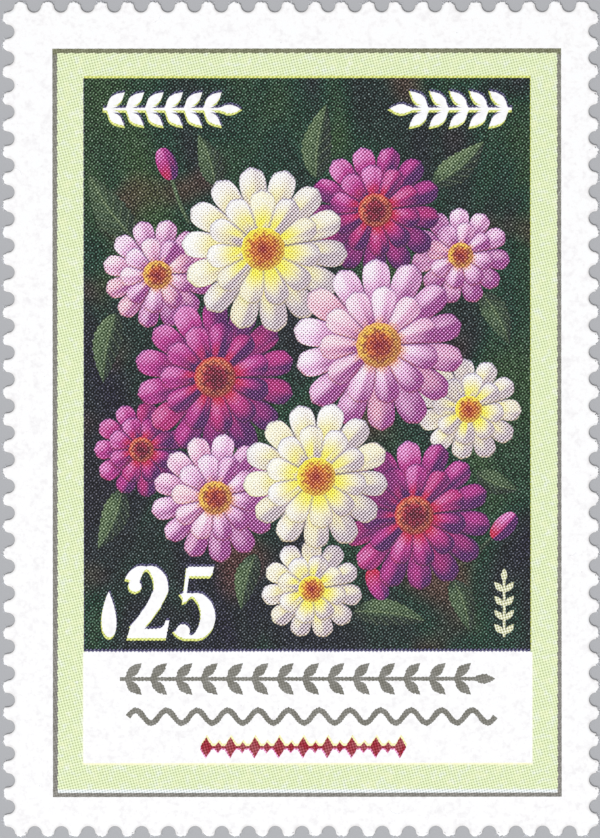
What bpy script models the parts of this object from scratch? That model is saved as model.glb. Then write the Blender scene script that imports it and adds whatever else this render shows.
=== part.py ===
"""Perforated postage stamp, lying on its gummed back with the printed face up.

The origin is the centre of the gummed back. +X runs to the right and +Y to the top
of the printed design, and +Z out of the printed face. Every size below is in
millimetres, and a finished mesh is scaled to metres.
"""

import math
import random

import bmesh
import bpy

MM = 0.001
TAU = math.tau

# Perforation: round holes on the four lines of a rectangle, with a hole on each corner.
HOLES_IN_20_MM = 12
PITCH = 20 / HOLES_IN_20_MM
PITCHES_ACROSS = 22
PITCHES_DOWN = 31
HALF_WIDTH = PITCH * PITCHES_ACROSS / 2
HALF_HEIGHT = PITCH * PITCHES_DOWN / 2
HOLE_RADIUS = 0.44
HOLE_SEGMENTS = 6

# Torn teeth between the holes: how far they stand past the hole line on each side.
REACH_LEFT = 0.27
REACH_OTHERS = 0.16
TIP_HALF_WIDTH = 0.25
TEAR_SCATTER = 0.07
TEAR_SEED = 12

# Layers, from the back up.
GUM = 0.02
PAPER = 0.09
INK = 0.01
FACE = GUM + PAPER

# Printed rectangles as left, bottom, right, top.
LINE_RECTANGLE = (-15.50, -23.53, 16.18, 23.07)
LINE_WIDTH = 0.23
BARE_STRIP = 0.21
PICTURE = (-13.60, -14.51, 14.31, 21.31)
PANEL_BOTTOM = -21.53

# Value numeral: the lower left corner of each digit, and the pen that draws them.
DIGITS_BOTTOM = -13.80
TWO_LEFT = -11.05
FIVE_LEFT = -7.95
PEN_THICK = 0.95
PEN_THIN = 0.30
BALL_RADIUS = 0.43
BALL_SEGMENTS = 12

# Twigs printed as ornaments: start, end, leaf pairs, leaf length, leaf width, stem width.
# A leaf's points are shares of its length and width, and its foot reaches a share of its
# width to each side, behind it (the heel) and before it (the sole).
LEFT_TWIG = ((-12.40, 19.25), (-3.70, 19.25), 6, 1.45, 0.62, 0.20)
RIGHT_TWIG = ((13.10, 19.25), (5.35, 19.25), 5, 1.55, 0.66, 0.20)
SIDE_TWIG = ((12.60, -13.60), (12.60, -9.30), 4, 0.80, 0.36, 0.14)
GREY_TWIG = ((-11.35, -16.20), (12.05, -16.20), 14, 1.30, 0.58, 0.18)
TWIG_LEAN = math.radians(42)
TWIG_LEAF = ((0.30, 0.42), (0.68, 0.40), (1, 0), (0.55, -0.46))
TWIG_HEEL = 0.12
TWIG_SOLE = 0.45
FIRST_PAIR = 0.25
TIP_SWELL = 0.45

GREY_WAVE = dict(left=-10.85, right=12.05, middle=-18.55, height=1.15, turns=12, width=0.36)
WAVE_STEPS = 6
CRIMSON_CHAIN = dict(left=-6.35, right=6.50, middle=-20.45, links=9, height=1.25, thread=0.14)
LARGE_LINK = 0.46
SMALL_LINK = 0.26
DROP = dict(middle=(-12.05, -12.25), half_width=0.62, half_height=1.50)
DROP_SEGMENTS = 14
DROP_NARROWING = 0.9

# Blooms, back to front: colour, centre, radius, rays, turn in degrees.
BLOOMS = (
    ("pink", (9.90, 10.20), 3.10, 11, 10),
    ("magenta", (-10.00, -1.90), 3.10, 11, 0),
    ("magenta", (4.60, 13.00), 4.20, 13, 6),
    ("pink", (-9.00, 9.00), 3.50, 12, 3),
    ("cream", (10.40, 0.60), 3.30, 11, 15),
    ("cream", (0.60, -10.60), 3.20, 11, 8),
    ("magenta", (-5.40, 2.60), 5.10, 14, 0),
    ("pink", (-5.40, -4.90), 4.10, 13, 12),
    ("magenta", (7.00, -6.00), 4.80, 14, 5),
    ("cream", (-2.40, 10.60), 5.30, 14, 9),
    ("pink", (4.80, 4.60), 5.50, 14, 2),
    ("cream", (0.90, -3.60), 4.70, 13, 7),
)
NOTCH = 0.66
OUTER_TIP = ((0, NOTCH), (0.2, 0.90), (0.5, 1), (0.8, 0.90))
INNER_TIP = ((0, NOTCH), (0.3, 0.98), (0.7, 0.98))
INNER_RING = 0.70
FEWER_INNER_RAYS = 3
EYE_SHARE = 0.26
EYE_SEGMENTS = 12
REACH_SEGMENTS = 20
REACH_FILMS = 5

# Leaves: foot, heading in degrees, length, width; teeth as shares of length and half width.
LEAVES = (
    ((-10.40, 11.20), 125, 5.00, 2.20),
    ((-5.40, 14.60), 108, 3.30, 1.60),
    ((0.90, 15.00), 82, 4.70, 2.00),
    ((8.20, 14.60), 40, 4.20, 1.90),
    ((11.20, 7.90), -62, 3.70, 1.70),
    ((-11.60, 6.60), -100, 4.40, 1.90),
    ((-11.20, -4.40), -112, 4.00, 1.80),
    ((-2.90, -8.40), -104, 3.60, 1.60),
    ((3.20, -12.00), -8, 4.60, 1.80),
    ((10.90, -3.40), -22, 2.80, 1.50),
    ((9.40, -10.00), -72, 3.40, 1.60),
)
LEAF_TEETH = ((0.16, 0.66), (0.20, 0.58), (0.38, 1.0), (0.42, 0.88), (0.62, 0.80), (0.65, 0.68))

# Buds on stalks: foot of the stalk, middle of the bud.
BUDS = (
    ((-7.00, 12.20), (-8.40, 15.90)),
    ((10.80, -8.60), (12.60, -6.70)),
    ((3.40, -7.60), (4.70, -10.30)),
)
BUD_HALF_LENGTH = 1.05
BUD_HALF_WIDTH = 0.62
BUD_SEGMENTS = 12
STALK_WIDTH = 0.26

# Finishes: sRGB colour and roughness.
FINISHES = {
    "gum": ((236, 231, 214), 0.28),
    "paper": ((252, 251, 250), 0.80),
    "line_ink": ((134, 132, 122), 0.62),
    "tint_ink": ((227, 236, 197), 0.62),
    "ground_ink": ((52, 68, 56), 0.52),
    "leaf_ink": ((72, 98, 62), 0.52),
    "cream_ink": ((244, 240, 222), 0.55),
    "pink_ink": ((226, 172, 205), 0.55),
    "magenta_ink": ((168, 68, 132), 0.55),
    "golden_ink": ((233, 193, 58), 0.55),
    "orange_ink": ((214, 132, 52), 0.55),
    "crimson_ink": ((158, 38, 72), 0.55),
    "pale_yellow_ink": ((226, 226, 170), 0.55),
    "grey_ink": ((140, 140, 132), 0.60),
    "red_ink": ((176, 32, 56), 0.58),
}
EYE_INK = {"cream": "golden_ink", "pink": "orange_ink", "magenta": "crimson_ink"}


def clear_scene():
    for thing in list(bpy.data.objects):
        bpy.data.objects.remove(thing)


def linear(channel):
    share = channel / 255
    return share / 12.92 if share <= 0.04045 else ((share + 0.055) / 1.055) ** 2.4


def finish(name):
    """The material of that name, made once from its colour and roughness."""
    if name in bpy.data.materials:
        return bpy.data.materials[name]
    colour, roughness = FINISHES[name]
    material = bpy.data.materials.new(name)
    material.use_nodes = True
    shader = material.node_tree.nodes["Principled BSDF"]
    shader.inputs["Base Color"].default_value = (*map(linear, colour), 1)
    shader.inputs["Roughness"].default_value = roughness
    shader.inputs["Metallic"].default_value = 0
    return material


def add_prism(bm, loops, bottom, top):
    """Fill closed outlines, with those inside another as holes, and raise them to a solid."""
    edges = []
    for loop in loops:
        corners = [bm.verts.new((x, y, bottom)) for x, y in loop]
        edges += [bm.edges.new(pair) for pair in zip(corners, corners[1:] + corners[:1])]
    filled = bmesh.ops.triangle_fill(bm, use_beauty=True, edges=edges, normal=(0, 0, 1))
    faces = [item for item in filled["geom"] if isinstance(item, bmesh.types.BMFace)]
    raised = bmesh.ops.extrude_face_region(bm, geom=faces, use_keep_orig=True)["geom"]
    corners = [item for item in raised if isinstance(item, bmesh.types.BMVert)]
    bmesh.ops.translate(bm, vec=(0, 0, top - bottom), verts=corners)
    bmesh.ops.recalc_face_normals(bm, faces=bm.faces)


def solid(name, parts, material):
    """One object from prisms, each given as its outlines, bottom and top."""
    bm = bmesh.new()
    for loops, bottom, top in parts:
        add_prism(bm, loops, bottom, top)
    bmesh.ops.scale(bm, vec=(MM, MM, MM), verts=bm.verts)
    mesh = bpy.data.meshes.new(name)
    bm.to_mesh(mesh)
    bm.free()
    mesh.materials.append(finish(material))
    thing = bpy.data.objects.new(name, mesh)
    bpy.context.collection.objects.link(thing)
    return thing


def film(name, loops, level, material):
    """One ink film, a number of films above the face of the paper."""
    bottom = FACE + level * INK
    return solid(name, [(loops, bottom, bottom + INK)], material)


def helper(name, parts):
    """A solid that only cuts or joins others."""
    thing = solid(name, parts, "paper")
    thing.hide_render = True
    thing.display_type = "WIRE"
    return thing


def combine(thing, operation, other, crossing=False):
    """Add a Boolean; crossing says that the other solid's own prisms cross each other."""
    boolean = thing.modifiers.new(operation.lower(), "BOOLEAN")
    boolean.operation = operation
    boolean.object = other
    boolean.solver = "EXACT"
    boolean.use_self = crossing


def island_of(start):
    found = {start}
    queue = [start]
    while queue:
        for edge in queue.pop().link_edges:
            for corner in edge.verts:
                if corner not in found:
                    found.add(corner)
                    queue.append(corner)
    return found


def settle(thing):
    """Apply the modifiers and drop every scrap that a cut left beside the main body."""
    bpy.context.view_layer.update()
    evaluated = thing.evaluated_get(bpy.context.evaluated_depsgraph_get())
    bm = bmesh.new()
    bm.from_mesh(evaluated.to_mesh())
    evaluated.to_mesh_clear()
    left = set(bm.verts)
    islands = []
    while left:
        islands.append(island_of(next(iter(left))))
        left -= islands[-1]
    body = max(islands, key=len)
    bmesh.ops.delete(bm, geom=[v for v in bm.verts if v not in body], context="VERTS")
    bmesh.ops.triangulate(bm, faces=bm.faces, quad_method="BEAUTY", ngon_method="BEAUTY")
    thing.modifiers.clear()
    bm.to_mesh(thing.data)
    bm.free()


def polar(middle, radius, angle):
    return (middle[0] + radius * math.cos(angle), middle[1] + radius * math.sin(angle))


def rectangle(left, bottom, right, top):
    return [(left, bottom), (right, bottom), (right, top), (left, top)]


def inset(box, amount):
    left, bottom, right, top = box
    return (left + amount, bottom + amount, right - amount, top - amount)


def along(foot, heading, points):
    """Points given as run and rise, laid out from a foot along a heading."""
    run_x, run_y = math.cos(heading), math.sin(heading)
    return [
        (foot[0] + run * run_x - rise * run_y, foot[1] + run * run_y + rise * run_x)
        for run, rise in points
    ]


def perforated_outline():
    """The edge of the sheet: half round holes, with a torn tooth between each two."""
    tear = random.Random(TEAR_SEED)
    sides = (
        ((-HALF_WIDTH, -HALF_HEIGHT), 0, PITCHES_ACROSS, REACH_OTHERS),
        ((HALF_WIDTH, -HALF_HEIGHT), TAU / 4, PITCHES_DOWN, REACH_OTHERS),
        ((HALF_WIDTH, HALF_HEIGHT), TAU / 2, PITCHES_ACROSS, REACH_OTHERS),
        ((-HALF_WIDTH, HALF_HEIGHT), TAU * 3 / 4, PITCHES_DOWN, REACH_LEFT),
    )
    outline = []
    for corner, heading, pitches, reach in sides:
        edge = []
        for step in range(HOLE_SEGMENTS // 2 + 1):
            turn = TAU / 4 + TAU / 2 * step / HOLE_SEGMENTS
            edge.append((-HOLE_RADIUS * math.cos(turn), HOLE_RADIUS * math.sin(turn)))
        for tooth in range(pitches):
            middle = (tooth + 0.5) * PITCH
            for side in (-1, 1):
                torn = 0 if tooth == 1 else tear.uniform(0, TEAR_SCATTER)
                spread = TIP_HALF_WIDTH + tear.uniform(-TEAR_SCATTER, TEAR_SCATTER)
                edge.append((middle + side * spread, torn - reach))
            if tooth == pitches - 1:
                break
            for step in range(HOLE_SEGMENTS + 1):
                turn = TAU / 2 * step / HOLE_SEGMENTS
                run = (tooth + 1) * PITCH - HOLE_RADIUS * math.cos(turn)
                edge.append((run, HOLE_RADIUS * math.sin(turn)))
        outline += along(corner, heading, edge)
    return outline


def ribbon(path, half_width):
    """Outline of a stroke along a path, with the half width that each heading gives."""
    left, right = [], []
    for index, point in enumerate(path):
        before = path[max(index - 1, 0)]
        after = path[min(index + 1, len(path) - 1)]
        heading = math.atan2(after[1] - before[1], after[0] - before[0])
        reach = half_width(heading)
        left.append(polar(point, reach, heading + TAU / 4))
        right.append(polar(point, reach, heading - TAU / 4))
    return left + right[::-1]


def arc(middle, radii, start, end, steps):
    """Points on an ellipse between two angles in degrees."""
    points = []
    for step in range(steps + 1):
        angle = math.radians(start + (end - start) * step / steps)
        points.append((middle[0] + radii[0] * math.cos(angle),
                       middle[1] + radii[1] * math.sin(angle)))
    return points


def pen(heading):
    """Half width of a broad pen, thick on upright strokes and thin on level ones."""
    return (PEN_THIN + (PEN_THICK - PEN_THIN) * abs(math.sin(heading))) / 2


def digit_two():
    bowl = arc((1.33, 3.28), (0.92, 1.17), 165, -18, 9)
    bowl += [(1.85, 2.20), (1.25, 1.35), (0.55, 0.55)]
    foot = [(0.10, 0.00), (2.55, 0.00), (2.78, 1.25), (2.55, 1.25), (2.25, 0.78), (0.30, 0.72)]
    ball = ring((0.62, 3.32), BALL_RADIUS, BALL_SEGMENTS)
    return [ribbon(bowl, pen), foot, ball]


def digit_five():
    flag = [(0.72, 3.86), (2.20, 3.86), (2.48, 4.60), (0.86, 4.60)]
    stem = [(0.72, 4.50), (0.96, 4.50), (0.70, 2.30), (0.45, 2.20)]
    bowl = arc((1.05, 1.46), (1.02, 1.31), 125, -145, 12)
    ball = ring((0.53, 0.58), BALL_RADIUS, BALL_SEGMENTS)
    return [flag, stem, ribbon(bowl, pen), ball]


def numeral_strokes():
    strokes = []
    for left, shapes in ((TWO_LEFT, digit_two()), (FIVE_LEFT, digit_five())):
        for shape in shapes:
            strokes.append([(x + left, y + DIGITS_BOTTOM) for x, y in shape])
    return strokes


def twig(start, end, pairs, leaf_length, leaf_width, stem_width):
    """Outline of a straight twig with leaf pairs that lean towards its tip."""
    length = math.dist(start, end)
    heading = math.atan2(end[1] - start[1], end[0] - start[0])
    rise = stem_width / 2
    last = length - leaf_length
    leaf = [(run * leaf_length, across * leaf_width) for run, across in TWIG_LEAF]
    upper = [(0, rise)]
    for pair in range(pairs):
        foot = (pair + FIRST_PAIR) / pairs * last
        upper.append((foot - leaf_width * TWIG_HEEL, rise))
        upper += along((foot, rise), TWIG_LEAN, leaf)
        upper.append((foot + leaf_width * TWIG_SOLE, rise))
    upper += [(last, rise), (last + leaf_length * TIP_SWELL, leaf_width / 2)]
    lower = [(run, -across) for run, across in reversed(upper)]
    return along(start, heading, upper + [(length, 0)] + lower)


def wave(left, right, middle, height, turns, width):
    """Outline of a running wave."""
    steps = turns * WAVE_STEPS
    path = []
    for step in range(steps + 1):
        share = step / steps
        rise = (height - width) / 2 * math.sin(share * turns * TAU)
        path.append((left + (right - left) * share, middle + rise))
    return ribbon(path, lambda heading: width / 2)


def chain(left, right, middle, links, height, thread):
    """Outline of pointed links on a thread, large and small by turns."""
    pitch = (right - left) / (2 * links - 1)
    upper = []
    for link in range(2 * links - 1):
        centre = left + (link + 0.5) * pitch
        peak = height / 2 if link % 2 == 0 else height / 4
        half = pitch * (LARGE_LINK if link % 2 == 0 else SMALL_LINK)
        upper += [(centre - half, thread / 2), (centre, peak), (centre + half, thread / 2)]
    lower = [(x, -y) for x, y in reversed(upper)]
    return [(x, middle + y) for x, y in upper + lower]


def drop(middle, half_width, half_height):
    """Outline of a drop that stands on its round end."""
    points = []
    for step in range(DROP_SEGMENTS):
        angle = TAU * step / DROP_SEGMENTS
        narrow = math.sin(angle / 2) ** DROP_NARROWING
        points.append((middle[0] + half_width * math.sin(angle) * narrow,
                       middle[1] + half_height * math.cos(angle)))
    return points


def rosette(middle, radius, rays, turn, tip):
    """Outline of a ring of rays; tip gives a ray's points as a share of its width and its reach."""
    points = []
    for ray in range(rays):
        for share, reach in tip:
            points.append(polar(middle, radius * reach, turn + TAU * (ray + share) / rays))
    return points


def ring(middle, radius, segments):
    return [polar(middle, radius, TAU * step / segments) for step in range(segments)]


def leaf_outline(foot, heading, length, width):
    """Outline of a pointed leaf with wide teeth."""
    upper = [(0, 0)] + [(run * length, rise * width / 2) for run, rise in LEAF_TEETH]
    lower = [(run, -rise) for run, rise in reversed(upper[1:])]
    return along(foot, heading, upper + [(length, 0)] + lower)


def make_sheet():
    outline = perforated_outline()
    solid("gum_film", [([outline], 0, GUM)], "gum")
    solid("paper_sheet", [([outline], GUM, FACE)], "paper")


def make_frame_and_tint():
    inner = inset(LINE_RECTANGLE, LINE_WIDTH)
    film("frame_line", [rectangle(*LINE_RECTANGLE), rectangle(*inner)], 0, "line_ink")
    left, bottom, right, top = inner
    band = rectangle(left, bottom + BARE_STRIP, right, top)
    opening = rectangle(PICTURE[0], PANEL_BOTTOM, PICTURE[2], PICTURE[3])
    film("tint_band", [band, opening], 0, "tint_ink")


def make_ground():
    """The dark picture ground, with the paper left bare for the numeral and the ornaments."""
    bare = [twig(*LEFT_TWIG), twig(*RIGHT_TWIG), drop(**DROP)]
    ground = film("picture_ground", [rectangle(*PICTURE)] + bare, 0, "ground_ink")
    strokes = [([stroke], FACE - INK, FACE + 2 * INK) for stroke in numeral_strokes()]
    combine(ground, "DIFFERENCE", helper("numeral_strokes", strokes), crossing=True)
    settle(ground)


def cut_by_fronts(thing, middle, radius, fronts):
    """Cut an ink film by every bloom that lies over it, and keep its main body."""
    for cutter, front_middle, front_radius in fronts:
        if math.dist(middle, front_middle) < radius + front_radius:
            combine(thing, "DIFFERENCE", cutter)
    settle(thing)


def make_blooms():
    """Two rings of rays and an eye for each bloom, cut by the blooms in front of it."""
    counts = {}
    fronts = []
    for colour, middle, radius, rays, turn in reversed(BLOOMS):
        counts[colour] = counts.get(colour, 0) + 1
        name = f"{colour}_bloom_{counts[colour]}"
        turn = math.radians(turn)
        bottom = FACE + INK
        outer = rosette(middle, radius, rays, turn, OUTER_TIP)
        inner_rays = rays - FEWER_INNER_RAYS
        inner = rosette(middle, radius * INNER_RING, inner_rays, turn, INNER_TIP)
        petals = film(f"{name}_petals", [outer], 1, f"{colour}_ink")
        joined = helper("inner_ring", [([inner], bottom + INK / 2, bottom + 2 * INK)])
        combine(petals, "UNION", joined)
        cut_by_fronts(petals, middle, radius, fronts)
        eye_radius = radius * EYE_SHARE
        eye = film(f"{name}_eye", [ring(middle, eye_radius, EYE_SEGMENTS)], 3, EYE_INK[colour])
        cut_by_fronts(eye, middle, eye_radius, fronts)
        reach = ring(middle, radius, REACH_SEGMENTS)
        cutter = helper("bloom_reach", [([reach], FACE, FACE + REACH_FILMS * INK)])
        fronts.append((cutter, middle, radius))
    return fronts


def make_leaves(fronts):
    for number, (foot, heading, length, width) in enumerate(LEAVES, 1):
        outline = leaf_outline(foot, math.radians(heading), length, width)
        leaf = film(f"leaf_{number}", [outline], 1, "leaf_ink")
        cut_by_fronts(leaf, foot, length, fronts)


def make_buds(fronts):
    for number, (foot, middle) in enumerate(BUDS, 1):
        heading = math.atan2(middle[1] - foot[1], middle[0] - foot[0])
        oval = [
            (BUD_HALF_LENGTH * x, BUD_HALF_WIDTH * y) for x, y in ring((0, 0), 1, BUD_SEGMENTS)
        ]
        bud = film(f"bud_{number}", [along(middle, heading, oval)], 2, "magenta_ink")
        top = polar(middle, BUD_HALF_LENGTH / 2, heading)
        stroke = ribbon([foot, top], lambda way: STALK_WIDTH / 2)
        stalk = film(f"stalk_{number}", [stroke], 1, "leaf_ink")
        cut_by_fronts(stalk, foot, math.dist(foot, top), fronts)
        settle(bud)


def make_ornaments():
    film("side_twig", [twig(*SIDE_TWIG)], 1, "pale_yellow_ink")
    film("grey_twig", [twig(*GREY_TWIG)], 0, "grey_ink")
    film("grey_wave", [wave(**GREY_WAVE)], 0, "grey_ink")
    film("red_chain", [chain(**CRIMSON_CHAIN)], 0, "red_ink")


clear_scene()
make_sheet()
make_frame_and_tint()
make_ground()
fronts = make_blooms()
make_leaves(fronts)
make_buds(fronts)
make_ornaments()
for thing in list(bpy.data.objects):
    if thing.hide_render:
        bpy.data.objects.remove(thing)
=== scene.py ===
"""Looks of a perforated postage stamp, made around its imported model.

The stamp lies on its gummed back with the printed face up, and the camera looks straight
down on it. Sizes are in millimetres, and a finished mesh is scaled to metres.
"""

import math
import random

import bmesh
import bpy
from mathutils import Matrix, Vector


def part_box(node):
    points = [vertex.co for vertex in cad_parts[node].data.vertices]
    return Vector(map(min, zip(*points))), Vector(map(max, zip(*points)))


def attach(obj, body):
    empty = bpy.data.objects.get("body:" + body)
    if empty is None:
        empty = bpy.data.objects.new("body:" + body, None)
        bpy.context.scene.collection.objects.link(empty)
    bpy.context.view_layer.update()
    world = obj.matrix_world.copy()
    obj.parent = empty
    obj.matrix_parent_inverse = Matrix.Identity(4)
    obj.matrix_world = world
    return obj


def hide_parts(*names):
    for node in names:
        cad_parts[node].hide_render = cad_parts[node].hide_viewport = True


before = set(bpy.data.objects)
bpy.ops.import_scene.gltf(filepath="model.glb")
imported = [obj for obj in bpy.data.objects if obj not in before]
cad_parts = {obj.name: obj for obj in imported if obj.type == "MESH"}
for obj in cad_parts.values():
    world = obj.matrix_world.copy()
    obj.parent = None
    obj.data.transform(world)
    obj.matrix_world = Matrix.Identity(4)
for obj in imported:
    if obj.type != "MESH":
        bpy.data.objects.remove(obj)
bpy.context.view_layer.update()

MM = 0.001
TAU = math.tau

# Photograph: its size in pixels, a pixel on the stamp, the stamp's centre and its turn. Then
# the camera: its distance, the width of its sensor, and where its view starts and ends.
PHOTO_SIZE = (600, 838)
PIXEL = 0.06233
CENTRE_PIXEL = (301.8, 419.0)
STAMP_TURN = math.radians(0.05)
CAMERA_DISTANCE = 800
SENSOR = 36
CLIP_START = 10
CLIP_END = 10000

# Perforation, repeated from the model.
PITCH = 20 / 12
PITCHES_ACROSS = 22
PITCHES_DOWN = 31
HALF_WIDTH = PITCH * PITCHES_ACROSS / 2
HALF_HEIGHT = PITCH * PITCHES_DOWN / 2
HOLE_RADIUS = 0.44
REACH_LEFT = 0.27
REACH_OTHERS = 0.16
HOLE_STEPS = 16

# The rows of holes at the top and bottom lie a little nearer to the print.
ROW_INSET = 0.037

# Torn teeth: their tips, how far the tear wanders in and out, leans and spreads.
TIP_HALF_WIDTH = 0.33
LEAST_TIP = 0.08
TIP_ROUNDING = 0.135
TIP_STEPS = 9
TEAR = 0.045
TEAR_LEAN = 0.05
TEAR_SPREAD = (-0.03, 0.05)

# The rolled rim of the sheet, as distance in from the edge and height under the face.
RIM = ((0.0, 0.040), (0.018, 0.016), (0.055, 0.004), (0.11, 0.0))

# How much of the tear is calmed down, and from how far in. How much narrower than the distance
# in a tip grows. How far in the lower edges of paper and gum lie.
CALM = 0.8
CALM_INWARD = 0.12
TIP_NARROWING = 0.6
PAPER_FOOT_INWARD = 0.01
GUM_TOP_INWARD = 0.012
GUM_FOOT_INWARD = 0.030

# Fibres that stand out of each tooth, from how deep, with their length, turn and thickness.
FIBRES_PER_TOOTH = 16
FIBRE_ROOT = (0.04, 0.12)
FIBRE_LENGTH = (0.08, 0.24)
FIBRE_LEAN = 0.9
FIBRE_CURL = 1.2
FIBRE_OVER_GUM = 0.012
FIBRE_UNDER_FACE = 0.022
FIBRE_WAVER = 0.006
FIBRE_THICKNESS = (0.005, 0.010)
FIBRE_TAPER = 0.6
FIBRE_STEPS = 4

# Loose fibres: start, heading in degrees, length and curl in degrees.
LOOSE_FIBRES = (
    ((15.98, 13.90), 62, 0.66, 6),
    ((-17.45, 15.20), 100, 0.75, 90),
    ((17.10, -8.30), 250, 0.60, -110),
    ((-9.30, 24.70), 10, 0.80, 75),
    ((6.10, -24.60), 190, 0.70, -60),
)
LOOSE_LEVEL = 0.0065
LOOSE_THICKNESS = 0.009
LOOSE_STEPS = 12

# Shortest edge that a cut leaves, and the distance at which a patch's corners merge.
SLIVER = 0.00002
MERGED = 0.0005

# Ink films: thickness, and the undersides of the layers above the face of the paper.
FILM = 0.0012
TINT_LEVEL = 0.0
LINE_LEVEL = 0.0018
YELLOW_LEVEL = 0.0018
VIOLET_LEVEL = 0.0036
GROUND_LEVEL = 0.0054
LEAF_LEVEL = 0.0074
BLOOM_LEVEL = 0.0098
BLOOM_STEP = 0.0058
RING_STEP = 0.0021

# How many times thicker a film is made where it cuts another one.
CUTTER_STRETCH = 20

# Printing screen: 150 lines per inch, with each ink at its own angle in degrees.
SCREEN_PITCH = 25.4 / 150
CYAN_ANGLE = 15
MAGENTA_ANGLE = 45
BLACK_ANGLE = 75

# Width of a dot's soft border, as a share of the screen's range.
SHARP_DOTS = 0.30
SOFT_DOTS = 0.80
BLURRED_DOTS = 0.9

# The rows of dots that run up to the right stand out more than those across them.
ROW_BIAS = 0.12

# Lightness of solid ink, the largest share of it, and how unevenly the dots take it.
DARKEST = 0.10
FULLEST = 0.80
UNEVEN = 0.24

# Speckle of the ink, as a step in lightness: on petals, on leaves and on the dark ground.
GRAIN = 0.16
LEAF_GRAIN = 0.40
COARSE_GRAIN = 0.62

# Gloss of every ink, and the depth of the felt-like relief in ink, in bare paper and in gum.
INK_GLOSS = 0.25
INK_RELIEF = 0.003
THIN_INK_RELIEF = 0.004
PAPER_RELIEF = 0.006
GUM_RELIEF = 0.010

# The eye's curve for light, and the darkest and lightest that dots and specks lead to.
EYE_GAMMA = 2.2
SEEN_RANGE = (0.02, 0.99)

# Share of ink that a threshold covers: the curve that turns a share into its threshold.
TONE_CURVE = ((0, 0), (0.02, 0.108), (0.05, 0.168), (0.10, 0.234), (0.20, 0.324), (0.30, 0.390),
              (0.50, 0.500), (0.70, 0.610), (0.80, 0.676), (0.90, 0.766), (0.95, 0.832), (1, 1))

# The yellow plate is out of register: it lies too far up and a little to the right.
YELLOW_SHIFT = (0.045, 0.150)
ROSE_SHIFT = (-0.030, -0.085)

# Petals: width of the fringe and the broken rim at their edges, and how their hues vary.
FRINGE_WIDTH = 0.16
RIM_WIDTH = 0.13
PETAL_VARIETY = 0.30

# Depth to which the screens break an edge of the print. A foot is an edge that faces down.
LINE_OUTER_EDGE = 0.012
LINE_INNER_EDGE = 0.040
LINE_INNER_FOOT = 0.010
PICTURE_EDGE = 0.014
PICTURE_FOOT = 0.045
PICTURE_BLACK_EDGE = 0.012
PICTURE_BLACK_FOOT = 0.040
BARE_EDGE = 0.022
NUMERAL_EDGE = 0.024
GREY_TWIG_EDGE = 0.034
GREY_WAVE_EDGE = 0.036
SIDE_TWIG_EDGE = 0.024
RED_CHAIN_EDGE = 0.024

# How far such an edge departs from the screen, as a share of its depth.
SCATTER = 0.45

# The longest step along such an edge, how straight an edge is where it starts to break and
# where it breaks in full, so that fine points stay whole, and over how many steps that is seen.
EDGE_STEP = 0.055
BENT, STRAIGHT = 0.86, 0.97
BEND_REACHES = (2, 4)

# An edge faces down where more than this share of its length runs to the right.
FACING_DOWN = 0.9

# How far edges of the print lie outside their nominal places: left, bottom, right, top.
PICTURE_GROWTH = (0.0, -0.020, -0.060, -0.060)
LINE_GROWTH = (0.030, 0.025, 0.0, 0.025)
LINE_INWARD = (0.045, 0.005, 0.020, 0.030)

# The line's hue drifts over this half height, and its top run is greener from here on.
LINE_DRIFT = 24
LINE_TOP = (22.60, 22.85)

# The bare panel under the picture, and how far the tint laps under the panel and the picture.
PANEL_BOTTOM = -21.53
PANEL_LAP = 0.13
PICTURE_LAP = 0.1

# Value numeral: the lower left corner of each digit, the pen that draws them, how finely its
# balls and arcs are divided, and the half depth of the strokes that cut it out of the ground.
DIGITS_BOTTOM = -13.80
TWO_LEFT = -11.05
FIVE_LEFT = -7.95
PEN_THICK = 0.95
PEN_THIN = 0.30
BALL_RADIUS = 0.43
BALL_STEPS = 30
ARC_STEPS = 36
STROKE_HALF_DEPTH = 0.02

# Twigs: start, end, leaf pairs, leaf length, leaf width, stem width.
LEFT_TWIG = ((-12.40, 19.25), (-3.70, 19.25), 6, 1.45, 0.70, 0.30)
RIGHT_TWIG = ((13.10, 19.25), (5.35, 19.25), 5, 1.55, 0.74, 0.30)
SIDE_TWIG = ((12.60, -13.60), (12.60, -9.30), 4, 0.80, 0.38, 0.16)
GREY_TWIG = ((-11.35, -16.20), (12.05, -16.20), 14, 1.30, 0.62, 0.24)
TWIG_LEAN = math.radians(42)

# Where a twig's first leaves stand, as a share of the way to the next, and where the foot of
# a leaf starts and ends on the stem, as shares of its width.
FIRST_PAIR = 0.25
LEAF_FOOT_START = 0.12
LEAF_FOOT_END = 0.45
TWIG_LEAF_STEPS = 7

# The other ornaments, and how many steps a turn of the wave and the drop have.
GREY_WAVE = dict(left=-10.85, right=12.05, middle=-18.55, height=1.15, turns=12, width=0.36)
RED_CHAIN = dict(left=-6.35, right=6.50, middle=-20.45, links=9, height=1.25, thread=0.14)
DROP = dict(middle=(-12.05, -12.25), half_width=0.62, half_height=1.50)
STEPS_PER_TURN = 20
DROP_STEPS = 44

# Blooms, back to front: colour, centre, radius, rays, turn in degrees.
BLOOMS = (
    ("pink", (9.90, 10.20), 3.10, 11, 10),
    ("magenta", (-10.00, -1.90), 3.10, 11, 0),
    ("magenta", (4.60, 13.00), 4.20, 13, 6),
    ("pink", (-9.00, 9.00), 3.50, 12, 3),
    ("cream", (10.40, 0.60), 3.30, 11, 15),
    ("cream", (0.60, -10.60), 3.20, 11, 8),
    ("magenta", (-5.40, 2.60), 5.10, 14, 0),
    ("pink", (-5.40, -4.90), 4.10, 13, 12),
    ("magenta", (7.00, -6.00), 4.80, 14, 5),
    ("cream", (-2.40, 10.60), 5.30, 14, 9),
    ("pink", (4.80, 4.60), 5.50, 14, 2),
    ("cream", (0.90, -3.60), 4.70, 13, 7),
)
EYE_SLOT = {"cream": "golden_ink", "pink": "orange_ink", "magenta": "crimson_ink"}

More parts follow.
